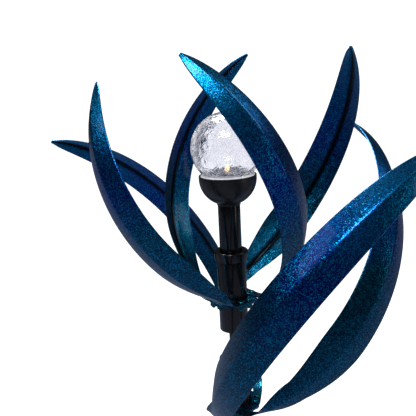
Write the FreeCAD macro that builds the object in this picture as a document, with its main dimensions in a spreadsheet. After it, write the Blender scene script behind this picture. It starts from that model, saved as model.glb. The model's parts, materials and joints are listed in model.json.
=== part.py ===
"""Dual counter-turning garden wind sculpture with a lamp on top, on a ground stake.

Millimetres, +Z up. The origin is on the pole's axis at ground level, where the stake enters the soil.
"""
import FreeCAD, Part
import math
import os
import Sketcher
from FreeCAD import Matrix, Placement, Rotation, Vector

Z_AXIS = Vector(0, 0, 1)

# Driving dimensions. Every name is a cell of the sheet "Sizes". Lengths inside a hub are measured from
# the top face of that hub's collar, and lengths inside the lamp from the upper hub's collar.
DIMENSIONS = {
    # stake and pole
    "spike_radius": 8.0, "spike_straight": 150.0, "spike_point": 70.0, "spike_end_radius": 0.8,
    "spike_boss_radius": 10.0,
    "step_length": 150.0, "step_depth": 40.0, "step_thickness": 4.0, "step_height": 8.5, "step_corner": 8.0,
    "prong_radius": 4.0, "prong_spread": 55.0, "prong_depth": 170.0, "prong_point": 20.0, "prong_bend": 14.0,
    "socket_radius": 12.5, "socket_top": 80.0, "socket_screw_height": 60.0,
    "pole_radius": 9.5, "pole_wall": 1.2, "pole_foot": 16.5, "pole_joint": 335.0, "pole_top": 650.0,
    "coupler_half": 35.0, "coupler_screw": 20.0,
    # spindle and its fittings
    "spindle_radius": 6.35, "spindle_foot": 612.0, "spindle_head": 18.0,
    "adapter_flange": 12.0, "adapter_thickness": 5.0, "adapter_plug": 40.0,
    "stop_radius": 11.0, "stop_height": 8.0, "washer_thickness": 1.5,
    # hubs
    "upper_hub_top": 900.0, "lower_hub_top": 765.5, "bearing_clearance": 0.05, "end_gap": 0.3,
    "collar_radius": 19.6, "collar_foot_radius": 18.9, "collar_height": 11.0, "collar_lip": 3.0,
    "collar_edge": 0.8, "tube_clearance": 0.5,
    "sleeve_radius": 16.8, "sleeve_wall": 2.4, "sleeve_length": 96.6, "recess": 11.0,
    "bush_height": 14.0, "bush_drop": 9.5, "plate_thickness": 3.0,
    "plate_radius": 27.6, "plate_drop": 58.0,
    # blade tongues and their bolts
    "tongue_offset": 23.0, "tongue_width": 11.0, "tongue_front": 13.0,
    "upper_tongue_back": 15.0, "lower_tongue_back": 8.5,
    "sheet_thickness": 1.6, "bolt_back": 4.0, "bolt_front": 8.0, "bolt_radius": 2.0, "bolt_head_radius": 3.5,
    "bolt_head_height": 2.4, "bolt_length": 9.5, "nut_radius": 4.0, "nut_height": 3.0,
    # leaves: an arc of this radius, begun at start from the axis and offset sideways; drop is how far the
    # arc's own root lies under the plate. Angles are in degrees.
    "upper_arc_radius": 180.0, "upper_arc_start": 7.8, "upper_arc_offset": -22.9, "upper_arc_drop": 0.0,
    "upper_rise": 17.9, "upper_tilt": 27.5, "upper_turn": 122.3, "upper_leaf_width": 48.0,
    "upper_twist_root": -3.4, "upper_twist_tip": 4.7, "upper_leaf_first": 0.12,
    "lower_arc_radius": 219.7, "lower_arc_start": 30.8, "lower_arc_offset": -11.0, "lower_arc_drop": 0.6,
    "lower_rise": 28.3, "lower_tilt": 37.7, "lower_turn": 130.1, "lower_leaf_width": 50.5,
    "lower_twist_root": 35.5, "lower_twist_tip": -15.0, "lower_leaf_first": 0.13,
    "leaf_crease": 0.18, "leaf_tip": 5.0, "leaf_root": 0.27,
    # lamp
    "tube_radius": 12.7, "tube_wall": 2.0, "tube_foot": 6.0, "tube_head": 60.0, "tube_plug": 24.0,
    "neck_radius": 13.4, "neck_foot": 53.8, "neck_head": 56.0, "cup_rim": 88.0, "cup_radius": 32.5,
    "cup_wall": 1.6, "cup_bulge": 31.0, "cup_shoulder": 84.0, "cup_ledge": 85.7, "cup_floor": 61.5,
    "flange_radius": 30.4, "flange_foot": 86.0, "flange_top": 88.5, "base_radius": 23.4, "base_wall": 2.0,
    "base_foot": 72.0, "deck_top": 91.0, "deck_thickness": 2.0,
    "globe_radius": 40.0, "globe_wall": 2.5, "globe_centre": 117.8, "seal_height": 1.0, "seal_radius": 29.0,
    "cell_radius": 22.0, "cell_thickness": 1.6, "led_radius": 2.5, "led_top": 98.0, "led_hole": 3.2,
    "board_radius": 17.0, "board_thickness": 1.6, "board_foot": 86.6,
    "battery_radius": 5.2, "battery_length": 30.0, "battery_height": 80.2, "contact_thickness": 0.5,
    "contact_width": 8.0, "boss_radius": 3.2, "boss_offset": 18.6, "boss_top": 84.0,
    "cover_radius": 21.3, "cover_thickness": 2.0, "cover_screw_radius": 1.0, "cover_screw_head": 2.0,
    "cover_screw_length": 8.0, "cover_screw_head_height": 1.2,
    "switch_length": 6.0, "switch_width": 4.0, "switch_travel": 3.0, "switch_place": 11.0,
    "switch_drop": 1.8, "switch_height": 5.0,
    "joint_screw_radius": 2.5, "joint_screw_head": 4.4, "joint_screw_head_height": 2.6,
}

# Side -1 sweeps clockwise seen from above and +1 the other way. Headings are the directions of the blades'
# roots in degrees, and trim shortens the arc of single blades.
ROTORS = {
    "upper": {"side": -1, "headings": (220.8, 309.0, 42.7, 131.0), "trim": (12.0, 0.0, 0.0, 0.0)},
    "lower": {"side": 1, "headings": (253.9, 326.5, 81.7), "trim": (0.0, 0.0, 0.0)},
}
LEAF_SECTIONS = 8

doc = FreeCAD.newDocument("WindSculpture")
sheet = doc.addObject("Spreadsheet::Sheet", "Sizes")
for row, (name, number) in enumerate(DIMENSIONS.items(), start=1):
    sheet.set("A%d" % row, name)
    sheet.set("B%d" % row, str(number))
    sheet.setAlias("B%d" % row, name)
doc.recompute()


class Size:
    """A length together with the sheet expression that drives it."""

    def __init__(self, value, text):
        self.value = value
        self.text = text

    def joined(self, other, sign, result):
        """Return a Size for self, an operator sign and other."""
        text = other.text if isinstance(other, Size) else str(other)
        return Size(result, "(%s %s %s)" % (self.text, sign, text))

    def __add__(self, other):
        return self.joined(other, "+", self.value + number_of(other))

    def __sub__(self, other):
        return self.joined(other, "-", self.value - number_of(other))

    def __mul__(self, other):
        return self.joined(other, "*", self.value * number_of(other))


def number_of(quantity):
    """Return the plain number of a Size or of a number."""
    return quantity.value if isinstance(quantity, Size) else quantity


def size(name):
    """Return the sheet's value and expression for one named dimension."""
    return Size(DIMENSIONS[name], "Sizes." + name)


ZERO = Size(0.0, "0")
sub_parts = []


def origin_plane(body, role):
    """Return the body's own origin plane with this role."""
    return next(plane for plane in body.Origin.OriginFeatures if plane.Role == role)


def bind(target, path, quantity):
    """Drive a property by a Size, or set it from a plain number."""
    if isinstance(quantity, Size):
        target.setExpression(path, quantity.text)


def place(piece, height=ZERO, x=ZERO, y=ZERO):
    """Place a piece by expressions on its base point."""
    for axis, quantity in (("x", x), ("y", y), ("z", height)):
        bind(piece, "Placement.Base." + axis, quantity)


def keep(piece, label):
    """Give a finished sub-part its label and list it for export."""
    piece.Label = label
    sub_parts.append(piece)
    return piece


def new_body(name):
    """Add an empty PartDesign body."""
    return doc.addObject("PartDesign::Body", name)


def new_sketch(body, name, role, offset=None):
    """Add a sketch on one of the body's origin planes."""
    sketch = body.newObject("Sketcher::SketchObject", name)
    sketch.AttachmentSupport = [(origin_plane(body, role), "")]
    sketch.MapMode = "FlatFace"
    if offset is not None:
        sketch.AttachmentOffset = offset
    return sketch


def pin_vertex(sketch, edge, across, up):
    """Bind the start point of an edge to its two coordinates."""
    for kind, quantity, axis in (("DistanceX", across, -2), ("DistanceY", up, -1)):
        if number_of(quantity) == 0.0:
            sketch.addConstraint(Sketcher.Constraint("PointOnObject", edge, 1, axis))
            continue
        index = sketch.addConstraint(Sketcher.Constraint(kind, -1, 1, edge, 1, number_of(quantity)))
        bind(sketch, "Constraints[%d]" % index, quantity)


def arc_between(start, end, radius):
    """Return the arc from start to end that bulges to the right of the line between them."""
    chord = end - start
    middle = (start + end) * 0.5
    height = math.sqrt(radius * radius - chord.Length * chord.Length / 4)
    left = Vector(-chord.y, chord.x, 0).normalize()
    centre = middle + left * height
    crown = centre - left * radius
    return Part.Arc(start, crown, end)


def draw_outline(sketch, outline):
    """Draw a closed outline of (across, up) points. A third value makes the edge after it an arc."""
    points = [Vector(number_of(corner[0]), number_of(corner[1]), 0) for corner in outline]
    count = len(points)
    for index, corner in enumerate(outline):
        start = points[index]
        end = points[(index + 1) % count]
        if len(corner) == 3:
            sketch.addGeometry(arc_between(start, end, number_of(corner[2])), False)
        else:
            sketch.addGeometry(Part.LineSegment(start, end), False)
    for index in range(count):
        sketch.addConstraint(Sketcher.Constraint("Coincident", index, 2, (index + 1) % count, 1))
    for index, corner in enumerate(outline):
        pin_vertex(sketch, index, corner[0], corner[1])
        if len(corner) == 3:
            number = sketch.addConstraint(Sketcher.Constraint("Radius", index, number_of(corner[2])))
            bind(sketch, "Constraints[%d]" % number, corner[2])


def turned(label, outline, height=ZERO):
    """A body turned about the vertical axis from an outline of (radius, height) points."""
    body = new_body(label)
    sketch = new_sketch(body, label + "_outline", "XZ_Plane")
    draw_outline(sketch, outline)
    turn = body.newObject("PartDesign::Revolution", label + "_turn")
    turn.Profile = sketch
    turn.ReferenceAxis = (sketch, ["V_Axis"])
    turn.Angle = 360
    place(body, height)
    return keep(body, label)


def ring(label, inner, outer, foot, tall, height=ZERO):
    """A turned ring or tube, or a disc where inner is zero."""
    top = foot + tall
    return turned(label, [(inner, foot), (outer, foot), (outer, top), (inner, top)], height)


def draw_circle(sketch, x, y, radius):
    """Draw one circle with its centre and radius bound."""
    circle = Part.Circle(Vector(number_of(x), number_of(y), 0), Z_AXIS, number_of(radius))
    edge = sketch.addGeometry(circle, False)
    index = sketch.addConstraint(Sketcher.Constraint("Radius", edge, number_of(radius)))
    bind(sketch, "Constraints[%d]" % index, radius)
    for kind, quantity, axis in (("DistanceX", x, -2), ("DistanceY", y, -1)):
        if number_of(quantity) == 0.0:
            sketch.addConstraint(Sketcher.Constraint("PointOnObject", edge, 3, axis))
            continue
        index = sketch.addConstraint(Sketcher.Constraint(kind, -1, 1, edge, 3, number_of(quantity)))
        bind(sketch, "Constraints[%d]" % index, quantity)


def cut_circles(body, label, circles):
    """Cut round holes right through a body along Z, and check that they cut."""
    doc.recompute()
    before = body.Shape.Volume
    sketch = new_sketch(body, label + "_holes", "XY_Plane")
    for x, y, radius in circles:
        draw_circle(sketch, x, y, radius)
    pocket = body.newObject("PartDesign::Pocket", label + "_pocket")
    pocket.Profile = sketch
    pocket.Type = "ThroughAll"
    pocket.Midplane = True
    doc.recompute()
    if body.Shape.Volume > before - 1:
        raise RuntimeError(label + ": the holes cut nothing")
    return pocket


def primitive(kind, name, height=ZERO, x=ZERO, y=ZERO, **lengths):
    """A Part primitive whose lengths and place are bound."""
    piece = doc.addObject("Part::" + kind, name)
    for length, quantity in lengths.items():
        bind(piece, length, quantity)
    place(piece, height, x, y)
    return piece


def joined(kind, name, base, tool):
    """A Part boolean of two objects: Cut, Fuse or Common."""
    piece = doc.addObject("Part::" + kind, name)
    piece.Base = base
    piece.Tool = tool
    return piece


def measured(label, shape, placement=None):
    """A sub-part whose shape is worked out here from the sheet."""
    piece = doc.addObject("Part::Feature", label)
    piece.Shape = shape
    if placement is not None:
        piece.Placement = placement
    return keep(piece, label)


# ---------------------------------------------------------------- stake and pole


def cut_side_hole(body, label, heights, radius):
    """Drill radial holes through the +X wall of an upright tube."""
    doc.recompute()
    before = body.Shape.Volume
    sketch = new_sketch(body, label + "_side_holes", "YZ_Plane")
    for height in heights:
        draw_circle(sketch, ZERO, height, radius)
    pocket = body.newObject("PartDesign::Pocket", label + "_side_pocket")
    pocket.Profile = sketch
    pocket.Type = "ThroughAll"
    pocket.Reversed = True
    doc.recompute()
    if body.Shape.Volume > before - 1:
        raise RuntimeError(label + ": the side holes cut nothing")


def make_stake():
    """The ground stake: a spike with a boss at its head, two prongs, step plate and the pole's socket."""
    top = size("step_height")
    straight = ZERO - size("spike_straight")
    point = straight - size("spike_point")
    turned("stake_spike", [
        (ZERO, point), (size("spike_end_radius"), point), (size("spike_radius"), straight),
        (size("spike_radius"), ZERO), (size("spike_boss_radius"), ZERO), (size("spike_boss_radius"), top),
        (ZERO, top),
    ])

    blank = primitive("Box", "step_plate_blank", top, size("step_length") * -0.5, size("step_depth") * -0.5,
                      Length=size("step_length"), Width=size("step_depth"), Height=size("step_thickness"))
    doc.recompute()
    plate = doc.addObject("Part::Fillet", "step_plate")
    plate.Base = blank
    corner = DIMENSIONS["step_corner"]
    plate.Edges = [(number, corner, corner) for number, edge in enumerate(blank.Shape.Edges, start=1)
                   if abs(edge.tangentAt(edge.FirstParameter).z) > 0.9]
    keep(plate, "stake_step_plate")

    for side, word in ((-1, "left"), (1, "right")):
        measured("stake_prong_" + word, prong_shape(side))

    foot = top + size("step_thickness")
    socket = turned("stake_socket", [
        (ZERO, foot), (size("socket_radius"), foot), (size("socket_radius"), size("socket_top")),
        (size("pole_radius"), size("socket_top")), (size("pole_radius"), size("pole_foot")),
        (ZERO, size("pole_foot")),
    ])
    cut_side_hole(socket, "stake_socket", [size("socket_screw_height")], size("joint_screw_radius"))


def prong_shape(side):
    """One prong: a round bar that leaves the boss under the step plate, bends down and ends in a point."""
    radius = DIMENSIONS["prong_radius"]
    bend = DIMENSIONS["prong_bend"]
    spread = DIMENSIONS["prong_spread"]
    height = DIMENSIONS["step_height"] - radius
    short = bend * (1 - math.sqrt(0.5))
    start = Vector(side * DIMENSIONS["spike_boss_radius"] * 0.5, 0, height)
    bend_start = Vector(side * (spread - bend), 0, height)
    bend_middle = Vector(side * (spread - short), 0, height - short)
    bend_end = Vector(side * spread, 0, height - bend)
    foot = Vector(side * spread, 0, -DIMENSIONS["prong_depth"])
    path = Part.Wire([Part.makeLine(start, bend_start),
                      Part.Arc(bend_start, bend_middle, bend_end).toShape(),
                      Part.makeLine(bend_end, foot)])
    section = Part.Wire(Part.makeCircle(radius, start, Vector(side, 0, 0)))
    bar = path.makePipeShell([section], True, False)
    point = Part.makeCone(radius, DIMENSIONS["spike_end_radius"], DIMENSIONS["prong_point"], foot, -Z_AXIS)
    boss = Part.makeCylinder(DIMENSIONS["spike_boss_radius"], 4 * bend, Vector(0, 0, -2 * bend))
    return bar.fuse(point).removeSplitter().cut(boss)


def make_pole():
    """Two pole sections, the coupler inside their joint, the adapter on top and the spindle in it."""
    bore = size("pole_radius") - size("pole_wall")
    foot = size("pole_foot")
    joint = size("pole_joint")
    half = size("coupler_half")
    reach = size("coupler_screw")
    screw = size("joint_screw_radius")
    lower = ring("pole_lower", bore, size("pole_radius"), ZERO, joint - foot, foot)
    cut_side_hole(lower, "pole_lower", [size("socket_screw_height") - foot, joint - foot - reach], screw)
    upper = ring("pole_upper", bore, size("pole_radius"), ZERO, size("pole_top") - joint, joint)
    cut_side_hole(upper, "pole_upper", [reach], screw)
    coupler = ring("pole_coupler", bore - size("pole_wall"), bore, ZERO, half * 2, joint - half)
    cut_side_hole(coupler, "pole_coupler", [half - reach, half + reach], screw)

    plug = ZERO - size("adapter_plug")
    turned("spindle_adapter", [
        (size("spindle_radius"), plug), (bore, plug), (bore, ZERO), (size("adapter_flange"), ZERO),
        (size("adapter_flange"), size("adapter_thickness") * 0.5),
        (size("pole_radius"), size("adapter_thickness")), (size("spindle_radius"), size("adapter_thickness")),
    ], size("pole_top"))
    ring("spindle", ZERO, size("spindle_radius"), ZERO,
         size("upper_hub_top") + size("spindle_head") - size("spindle_foot"), size("spindle_foot"))


def hex_socket(radius, deep, top):
    """A hexagonal hole for a key, sunk from the height top."""
    angles = [math.radians(60 * turn) for turn in range(7)]
    corners = [Vector(radius * math.cos(angle), radius * math.sin(angle), top) for angle in angles]
    return Part.Face(Part.makePolygon(corners)).extrude(Vector(0, 0, -deep))


def button_screw(shank, head, head_height, length):
    """A button-head screw along +Z with its seat at zero and a hexagonal socket in the head."""
    crown = head * 0.45
    profile = Part.Wire([
        Part.makeLine(Vector(0, 0, -length), Vector(shank, 0, -length)),
        Part.makeLine(Vector(shank, 0, -length), Vector(shank, 0, 0)),
        Part.makeLine(Vector(shank, 0, 0), Vector(head, 0, 0)),
        Part.makeLine(Vector(head, 0, 0), Vector(head, 0, head_height * 0.3)),
        Part.Arc(Vector(head, 0, head_height * 0.3), Vector(head * 0.82, 0, head_height * 0.78),
                 Vector(crown, 0, head_height)).toShape(),
        Part.makeLine(Vector(crown, 0, head_height), Vector(0, 0, head_height)),
        Part.makeLine(Vector(0, 0, head_height), Vector(0, 0, -length)),
    ])
    screw = Part.Face(profile).revolve(Vector(0, 0, 0), Z_AXIS, 360)
    return screw.cut(hex_socket(head * 0.42, head_height * 0.6, head_height))


def side_screws(label, places):
    """Button-head screws that enter round pieces from +X at (height, seat radius, depth)."""
    screws = []
    for height, seat, depth in places:
        screw = button_screw(DIMENSIONS["joint_screw_radius"], DIMENSIONS["joint_screw_head"],
                             DIMENSIONS["joint_screw_head_height"], depth)
        screw.Placement = Placement(Vector(seat, 0, height), Rotation(Vector(0, 1, 0), 90))
        screws.append(screw)
    measured(label, Part.makeCompound(screws))


def make_pole_screws():
    """The screws of the socket and of the coupler."""
    pole = DIMENSIONS["pole_radius"]
    wall = DIMENSIONS["pole_wall"]
    socket = DIMENSIONS["socket_radius"]
    joint = DIMENSIONS["pole_joint"]
    reach = DIMENSIONS["coupler_screw"]
    side_screws("pole_screws", [
        (DIMENSIONS["socket_screw_height"], socket, socket - pole + wall),
        (joint - reach, pole, wall * 2),
        (joint + reach, pole, wall * 2),
    ])


# ---------------------------------------------------------------- hubs


def make_hub(name):
    """Sleeve, collar, two bushes and the blade plate of one rotor, and the stop under it."""
    top = size(name + "_hub_top")
    sleeve_head = ZERO - size("collar_lip")
    sleeve_foot = ZERO - size("sleeve_length")
    outer = size("sleeve_radius")
    bore = outer - size("sleeve_wall")
    inner = size("spindle_radius") + size("bearing_clearance")
    ring(name + "_sleeve", bore, outer, sleeve_foot, size("sleeve_length") - size("collar_lip"), top)

    passing = size("tube_radius") if name == "upper" else inner
    lip_bore = passing + size("tube_clearance")
    collar_foot = ZERO - size("collar_height")
    edge = size("collar_edge")
    turned(name + "_collar", [
        (outer, collar_foot), (size("collar_foot_radius"), collar_foot), (size("collar_radius"), ZERO - edge),
        (size("collar_radius") - edge, ZERO), (lip_bore, ZERO), (lip_bore, sleeve_head), (outer, sleeve_head),
    ], top)

    bush_top = ZERO - size("bush_drop")
    ring(name + "_top_bush", inner, bore, bush_top - size("bush_height"), size("bush_height"), top)
    bush_foot = sleeve_foot + size("recess")
    ring(name + "_bottom_bush", inner, bore, bush_foot, size("bush_height"), top)

    plate_top = ZERO - size("plate_drop")
    plate = ring(name + "_blade_plate", outer, size("plate_radius"),
                 plate_top - size("plate_thickness"), size("plate_thickness"), top)
    cut_circles(plate, name + "_blade_plate", bolt_circles(name))

    washer_foot = bush_foot - size("end_gap") - size("washer_thickness")
    ring(name + "_thrust_washer", size("spindle_radius"), size("stop_radius"), washer_foot,
         size("washer_thickness"), top)
    ring(name + "_stop_collar", size("spindle_radius"), size("stop_radius"),
         washer_foot - size("stop_height"), size("stop_height"), top)


def bolt_places(name):
    """The bolts' places on the plate, as (x, y) numbers, for every blade."""
    rotor = ROTORS[name]
    places = []
    for heading in rotor["headings"]:
        for along in (-DIMENSIONS["bolt_back"], DIMENSIONS["bolt_front"]):
            across = -rotor["side"] * DIMENSIONS["tongue_offset"]
            place_on_plate = Rotation(Z_AXIS, heading).multVec(Vector(along, across, 0))
            places.append((place_on_plate.x, place_on_plate.y))
    return places


def bolt_circles(name):
    """The bolt holes of a plate for cut_circles."""
    return [(x, y, size("bolt_radius")) for x, y in bolt_places(name)]


def make_bolts(name):
    """Bolts through tongue and plate, and the nuts under the plate."""
    seat = DIMENSIONS[name + "_hub_top"] - DIMENSIONS["plate_drop"] + DIMENSIONS["sheet_thickness"]
    under = seat - DIMENSIONS["sheet_thickness"] - DIMENSIONS["plate_thickness"]
    bolts = []
    nuts = []
    for x, y in bolt_places(name):
        bolt = button_screw(DIMENSIONS["bolt_radius"], DIMENSIONS["bolt_head_radius"],
                            DIMENSIONS["bolt_head_height"], DIMENSIONS["bolt_length"])
        bolt.Placement = Placement(Vector(x, y, seat), Rotation())
        bolts.append(bolt)
        nut = hex_socket(DIMENSIONS["nut_radius"], DIMENSIONS["nut_height"], 0)
        nut = nut.cut(Part.makeCylinder(DIMENSIONS["bolt_radius"], 2 * DIMENSIONS["nut_height"],
                                        Vector(0, 0, -DIMENSIONS["nut_height"])))
        nut.Placement = Placement(Vector(x, y, under), Rotation())
        nuts.append(nut)
    measured(name + "_blade_bolts", Part.makeCompound(bolts))
    measured(name + "_blade_nuts", Part.makeCompound(nuts))


# ---------------------------------------------------------------- blades


def leaf_width(name, along):
    """The leaf's width at a fraction of its length: a short swell at the root and a long taper."""
    swell = min(along / 0.30, 1.0)
    swell = swell * swell * (3 - 2 * swell)
    root = DIMENSIONS["leaf_root"] + (1 - DIMENSIONS["leaf_root"]) * swell
    taper = max(1 - along ** 4, 0.0) ** 0.6
    return max(DIMENSIONS[name + "_leaf_width"] * root * taper, DIMENSIONS["leaf_tip"])


def leaf_frame(name, side, along, trim):
    """Place and axes of the leaf's section at a fraction of its length: x across, y inward, z back."""
    rise = math.radians(DIMENSIONS[name + "_rise"])
    tilt = math.radians(DIMENSIONS[name + "_tilt"])
    angle = math.radians((DIMENSIONS[name + "_turn"] - trim) * along)
    twist_root = DIMENSIONS[name + "_twist_root"]
    twist = math.radians(twist_root + (DIMENSIONS[name + "_twist_tip"] - twist_root) * along)
    radius = DIMENSIONS[name + "_arc_radius"]
    forward = Vector(math.cos(rise), 0, math.sin(rise))
    inward = Vector(0, side * math.sin(tilt), math.cos(tilt))
    inward = (inward - forward * inward.dot(forward)).normalize()
    across = forward.cross(inward)
    root = Vector(DIMENSIONS[name + "_arc_start"], side * DIMENSIONS[name + "_arc_offset"],
                  -DIMENSIONS[name + "_arc_drop"])
    point = root + forward * (radius * math.sin(angle)) + inward * (radius * (1 - math.cos(angle)))
    tangent = forward * math.cos(angle) + inward * math.sin(angle)
    normal = inward * math.cos(angle) - forward * math.sin(angle)
    axis_x = across * math.cos(twist) + normal * math.sin(twist)
    axis_y = normal * math.cos(twist) - across * math.sin(twist)
    return point, axis_x, axis_y, tangent * -1


def placement_of(point, axis_x, axis_y, axis_z):
    """A Placement from a point and three unit vectors."""
    return Placement(Matrix(axis_x.x, axis_y.x, axis_z.x, point.x,
                            axis_x.y, axis_y.y, axis_z.y, point.y,
                            axis_x.z, axis_y.z, axis_z.z, point.z,
                            0, 0, 0, 1))


def creased_section(body, name, frame, width, crease):
    """A sketch of the sheet's section: two wings that rise by crease from the middle line."""
    sketch = new_sketch(body, name, "XY_Plane", placement_of(*frame))
    half = width / 2
    thick = size("sheet_thickness")
    outline = [(-half, crease), (ZERO, ZERO), (half, crease), (half, thick + crease), (ZERO, thick),
               (-half, thick + crease)]
    draw_outline(sketch, outline)
    return sketch


def make_blade(name, number, heading, trim):
    """One blade: a flat tongue with two bolt holes and a creased leaf lofted along its arc."""
    side = ROTORS[name]["side"]
    label = "%s_blade_%d" % (name, number)
    body = new_body(label)
    offset = size("tongue_offset") * -side
    half = size("tongue_width") * 0.5
    tongue = new_sketch(body, label + "_tongue", "XY_Plane")
    back = ZERO - size(name + "_tongue_back")
    front = size("tongue_front")
    draw_outline(tongue, [(back, offset - half), (front, offset - half), (front, offset + half),
                          (back, offset + half)])
    pad = body.newObject("PartDesign::Pad", label + "_pad")
    pad.Profile = tongue
    pad.setExpression("Length", "Sizes.sheet_thickness")

    root = Vector(number_of(front), number_of(offset), 0)
    frames = [(root, Vector(0, -1, 0), Vector(0, 0, 1), Vector(-1, 0, 0))]
    widths = [DIMENSIONS["tongue_width"]]
    creases = [0.0]
    first = DIMENSIONS[name + "_leaf_first"]
    for step in range(LEAF_SECTIONS):
        along = first + (1 - first) * (step / (LEAF_SECTIONS - 1)) ** 0.9
        width = leaf_width(name, along)
        frames.append(leaf_frame(name, side, along, trim))
        widths.append(width)
        creases.append(width * DIMENSIONS["leaf_crease"])
    sections = [creased_section(body, "%s_section_%d" % (label, index), frames[index], widths[index],
                                creases[index]) for index in range(len(frames))]
    doc.recompute()
    leaf = body.newObject("PartDesign::AdditiveLoft", label + "_leaf")
    leaf.Profile = sections[0]
    leaf.Sections = sections[1:]
    leaf.Ruled = False
    cut_circles(body, label, [(ZERO - size("bolt_back"), offset, size("bolt_radius")),
                              (size("bolt_front"), offset, size("bolt_radius"))])
    body.Placement = Placement(Vector(0, 0, 0), Rotation(Z_AXIS, heading))
    place(body, size(name + "_hub_top") - size("plate_drop"))
    return keep(body, label)


# ---------------------------------------------------------------- lamp


def make_lamp_carrier():
    """The tube above the upper hub, its plug on the spindle and the cup on the tube."""
    top = size("upper_hub_top")
    foot = ZERO - size("tube_foot")
    bore = size("tube_radius") - size("tube_wall")
    ring("lamp_tube", bore, size("tube_radius"), foot, size("tube_head") + size("tube_foot"), top)
    ring("lamp_tube_plug", size("spindle_radius"), bore, foot, size("tube_plug"), top)

    wall = size("cup_wall")
    turned("lamp_cup", [
        (size("tube_radius"), size("neck_foot")), (size("neck_radius"), size("neck_foot")),
        (size("neck_radius"), size("neck_head"), size("cup_bulge")),
        (size("cup_radius"), size("cup_shoulder")), (size("cup_radius"), size("cup_rim")),
        (size("cup_radius") - wall, size("cup_rim")), (size("cup_radius") - wall, size("cup_ledge")),
        (size("cup_radius") - wall * 2, size("cup_ledge")),
        (size("cup_radius") - wall * 2, size("cup_shoulder") - wall),
        (size("cup_radius") - wall * 6, size("cup_floor") + wall * 3),
        (size("tube_radius") + wall, size("cup_floor")), (size("tube_radius"), size("cup_floor")),
    ], top)


def make_lamp():
    """The globe with its solar cell, lamp, board, battery and housing. It lifts out of the cup."""
    top = size("upper_hub_top")
    base = size("base_radius")
    wall = size("base_wall")
    deck = size("deck_top")
    turned("lamp_base_shell", [
        (base - wall, size("base_foot")), (base, size("base_foot")), (base, size("flange_foot")),
        (size("flange_radius"), size("flange_foot")), (size("flange_radius"), size("flange_top")),
        (base, size("flange_top")), (base, deck), (size("led_hole"), deck),
        (size("led_hole"), deck - size("deck_thickness")), (base - wall, deck - size("deck_thickness")),
    ], top)
    shell = sub_parts.pop()
    bosses = []
    for side, word in ((-1, "front"), (1, "back")):
        foot = size("base_foot") + size("cover_thickness")
        post = primitive("Cylinder", "boss_" + word, top + foot, ZERO, size("boss_offset") * side,
                         Radius=size("boss_radius"), Height=size("boss_top") - foot)
        bore = primitive("Cylinder", "boss_bore_" + word, top + foot, ZERO, size("boss_offset") * side,
                         Radius=size("cover_screw_radius"), Height=size("boss_top") - foot)
        bosses.append(joined("Cut", "boss_drilled_" + word, post, bore))
    pair = joined("Fuse", "bosses", bosses[0], bosses[1])
    keep(joined("Fuse", "lamp_base_body", shell, pair), "lamp_base")

    cover = ring("battery_cover", ZERO, size("cover_radius"), size("base_foot"), size("cover_thickness"), top)
    cut_circles(cover, "battery_cover", [(ZERO, size("boss_offset"), size("cover_screw_radius")),
                                         (ZERO, size("boss_offset") * -1, size("cover_screw_radius"))])
    cut_slot(cover)

    screws = []
    seat_height = DIMENSIONS["upper_hub_top"] + DIMENSIONS["base_foot"]
    for side in (-1, 1):
        screw = button_screw(DIMENSIONS["cover_screw_radius"], DIMENSIONS["cover_screw_head"],
                             DIMENSIONS["cover_screw_head_height"], DIMENSIONS["cover_screw_length"])
        seat = Vector(0, side * DIMENSIONS["boss_offset"], seat_height)
        screw.Placement = Placement(seat, Rotation(Vector(1, 0, 0), 180))
        screws.append(screw)
    measured("battery_cover_screws", Part.makeCompound(screws))

    make_switch()
    make_electrics(top)

    sphere = primitive("Sphere", "globe_outside", top + size("globe_centre"), Radius=size("globe_radius"))
    hollow = primitive("Sphere", "globe_inside", top + size("globe_centre"),
                       Radius=size("globe_radius") - size("globe_wall"))
    wall_of_globe = joined("Cut", "globe_wall_shell", sphere, hollow)
    below = size("globe_radius") * 2
    opening = primitive("Cylinder", "globe_opening", top + size("flange_top") + size("seal_height") - below,
                        Radius=size("globe_radius"), Height=below)
    keep(joined("Cut", "globe_open", wall_of_globe, opening), "glass_globe")
    ring("globe_seal", base + size("base_wall") * 0.2, size("seal_radius"), size("flange_top"),
         size("seal_height"), top)


def cut_slot(cover):
    """The slot in the battery cover that the switch slides in."""
    doc.recompute()
    before = cover.Shape.Volume
    half = (size("switch_length") + size("switch_travel")) * 0.5 + size("end_gap")
    side = size("switch_width") * 0.5 + size("end_gap")
    middle = size("switch_place")
    sketch = new_sketch(cover, "switch_slot", "XY_Plane")
    draw_outline(sketch, [(ZERO - half, middle - side), (half, middle - side), (half, middle + side),
                          (ZERO - half, middle + side)])
    pocket = cover.newObject("PartDesign::Pocket", "switch_slot_pocket")
    pocket.Profile = sketch
    pocket.Type = "ThroughAll"
    pocket.Midplane = True
    doc.recompute()
    if cover.Shape.Volume > before - 1:
        raise RuntimeError("the switch slot cuts nothing")


def make_switch():
    """The on-off slider: a knob in the cover's slot with a plate behind it."""
    left = ZERO - (size("switch_length") + size("switch_travel")) * 0.5
    middle = size("switch_place")
    top = size("upper_hub_top")
    foot = size("base_foot") - size("switch_drop")
    knob = primitive("Box", "switch_knob", top + foot, left, middle - size("switch_width") * 0.5,
                     Length=size("switch_length"), Width=size("switch_width"), Height=size("switch_height"))
    slab_foot = size("base_foot") + size("cover_thickness") + size("end_gap")
    slab = primitive("Box", "switch_slab", top + slab_foot,
                     left - 1, middle - size("switch_width") * 0.5 - 1,
                     Length=size("switch_length") + 2, Width=size("switch_width") + 2, Height=ZERO + 1)
    keep(joined("Fuse", "switch_body", knob, slab), "switch_slider")


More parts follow.
